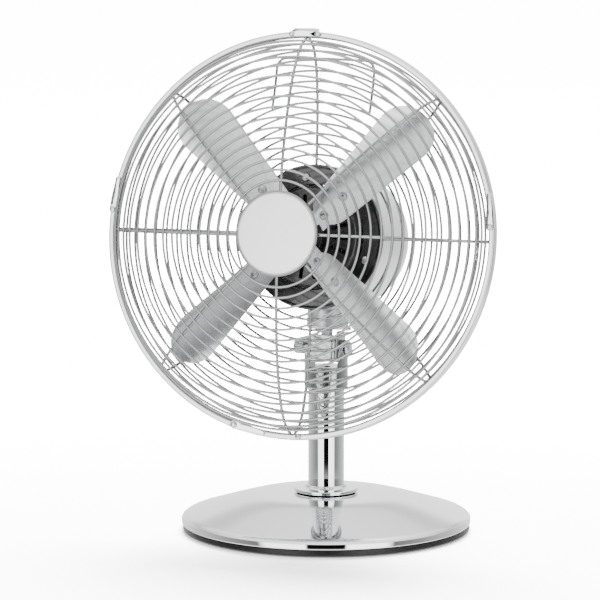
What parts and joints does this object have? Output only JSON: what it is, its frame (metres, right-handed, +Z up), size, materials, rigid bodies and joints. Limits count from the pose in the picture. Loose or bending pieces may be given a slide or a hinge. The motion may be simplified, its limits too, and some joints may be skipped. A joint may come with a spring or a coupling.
{
  "type": "desk fan",
  "caption": "Oscillating desk fan with wire guards, metal blades, a ring-clipped head that tilts and turns, on a column over a round weighted base.",
  "frame": {"origin": "centre of the base's underside, on the surface it stands on", "axes": "+Z up along the column, -Y the way the fan blows, X across the head"},
  "size_m": [0.3452, 0.271, 0.4394],
  "materials": {
    "chrome_plate": "polished nickel and chromium plate",
    "brushed_aluminium": "brushed",
    "silver_paint": "silver enamel",
    "black_enamel": "black enamel",
    "black_plastic": "moulded",
    "zinc_steel": "zinc plated",
    "cast_iron": "as cast or laminated",
    "enamelled_copper": "enamelled wire",
    "gear_nylon": "moulded"
  },
  "bodies": {
    "stand": {"base_bottom_cover": "black_plastic", "base_shell": "chrome_plate", "base_weight": "cast_iron", "base_collar": "chrome_plate", "column_tube": "chrome_plate", "draw_rod": "zinc_steel", "draw_nut": "zinc_steel", "cord_gland": "black_plastic", "tilt_fork": "chrome_plate", "tilt_pin": "zinc_steel"},
    "tilt_lock": {"tilt_knob": "chrome_plate"},
    "yoke": {"tilt_yoke": "chrome_plate", "swivel_pin": "zinc_steel", "link_pin": "zinc_steel"},
    "link": {"oscillation_link": "zinc_steel"},
    "rotor": {"motor_shaft": "zinc_steel", "rotor_core": "cast_iron", "worm": "zinc_steel", "hub_spider": "brushed_aluminium", "blade_1": "brushed_aluminium", "blade_2": "brushed_aluminium", "blade_3": "brushed_aluminium", "blade_4": "brushed_aluminium", "hub_nut": "zinc_steel"},
    "idler": {"idler_gear": "gear_nylon"},
    "crank": {"output_gear": "gear_nylon", "output_shaft": "zinc_steel", "crank_arm": "zinc_steel"},
    "speed_control": {"speed_knob": "black_plastic"},
    "oscillation_control": {"oscillation_knob": "black_plastic"},
    "right_clip": {"right_latch": "chrome_plate"},
    "left_clip": {"left_latch": "chrome_plate"},
    "bottom_clip": {"bottom_latch": "chrome_plate"},
    "head": {"badge": "brushed_aluminium", "band_screw": "zinc_steel", "bottom_latch_rivet": "zinc_steel", "carry_handle": "chrome_plate", "front_bearing": "zinc_steel", "front_guard": "chrome_plate", "gearbox_cover": "silver_paint", "gearbox_housing": "silver_paint", "guard_plate": "black_enamel", "idler_shaft": "zinc_steel", "left_latch_rivet": "zinc_steel", "motor_cover": "silver_paint", "motor_front_bell": "black_enamel", "motor_rear_bell": "silver_paint", "plate_screw_1": "zinc_steel", "plate_screw_2": "zinc_steel", "plate_screw_3": "zinc_steel", "rear_bearing": "zinc_steel", "rear_guard": "chrome_plate", "right_latch_rivet": "zinc_steel", "speed_switch": "black_plastic", "stator_core": "cast_iron", "swivel_housing": "silver_paint", "top_clip": "chrome_plate", "trim_band": "chrome_plate", "winding_front": "enamelled_copper", "winding_rear": "enamelled_copper"}
  },
  "joints": [
    {"name": "head_tilt", "type": "hinge", "parent": "stand", "child": "yoke", "pos_m": [0, 0, 0.1596], "axis": [1, 0, 0], "range_deg": [-12, 20]},
    {"name": "oscillation", "type": "hinge", "parent": "yoke", "child": "head", "pos_m": [0, 0, 0.1596], "axis": [0, 0.159, 0.9873], "range_deg": [-35, 35]},
    {"name": "blade_spin", "type": "hinge", "parent": "head", "child": "rotor", "pos_m": [0, 0.01488, 0.25201], "axis": [0, -0.9873, 0.159], "continuous": true},
    {"name": "idler_spin", "type": "hinge", "parent": "head", "child": "idler", "pos_m": [-0.0145, 0.03062, 0.24948], "axis": [0, 0.159, 0.9873], "continuous": true},
    {"name": "crank_spin", "type": "hinge", "parent": "head", "child": "crank", "pos_m": [0, 0.0445, 0.24724], "axis": [0, 0.159, 0.9873], "continuous": true},
    {"name": "link_swing", "type": "hinge", "parent": "yoke", "child": "link", "pos_m": [0.0106, 0.00602, 0.1718], "axis": [0, 0.159, 0.9873], "range_deg": [-36, 36]},
    {"name": "tilt_knob_turn", "type": "hinge", "parent": "stand", "child": "tilt_lock", "pos_m": [-0.0236, 0, 0.1596], "axis": [-1, 0, 0], "range_deg": [0, 270]},
    {"name": "speed_knob_turn", "type": "hinge", "parent": "head", "child": "speed_control", "pos_m": [0, 0.08399, 0.24088], "axis": [0, 0.9873, -0.159], "range_deg": [0, 135]},
    {"name": "oscillation_knob_lift", "type": "slide", "parent": "head", "child": "oscillation_control", "axis": [0, 0.159, 0.9873], "range_m": [0, 0.008]},
    {"name": "right_clip_turn", "type": "hinge", "parent": "head", "child": "right_clip", "pos_m": [0.16895, -0.06343, 0.27959], "axis": [0, -0.9873, 0.159], "range_deg": [-90, 0]},
    {"name": "left_clip_turn", "type": "hinge", "parent": "head", "child": "left_clip", "pos_m": [-0.16895, -0.06343, 0.27959], "axis": [0, -0.9873, 0.159], "range_deg": [0, 90]},
    {"name": "bottom_clip_turn", "type": "hinge", "parent": "head", "child": "bottom_clip", "pos_m": [-0.04845, -0.09162, 0.10454], "axis": [0, -0.9873, 0.159], "range_deg": [-90, 0]}
  ],
  "couplings": [
    {"joint": "idler_spin", "follows": "blade_spin", "ratio": 0.041667},
    {"joint": "crank_spin", "follows": "blade_spin", "ratio": -0.0069444},
    {"joint": "link_swing", "follows": "oscillation", "ratio": 1}
  ]
}
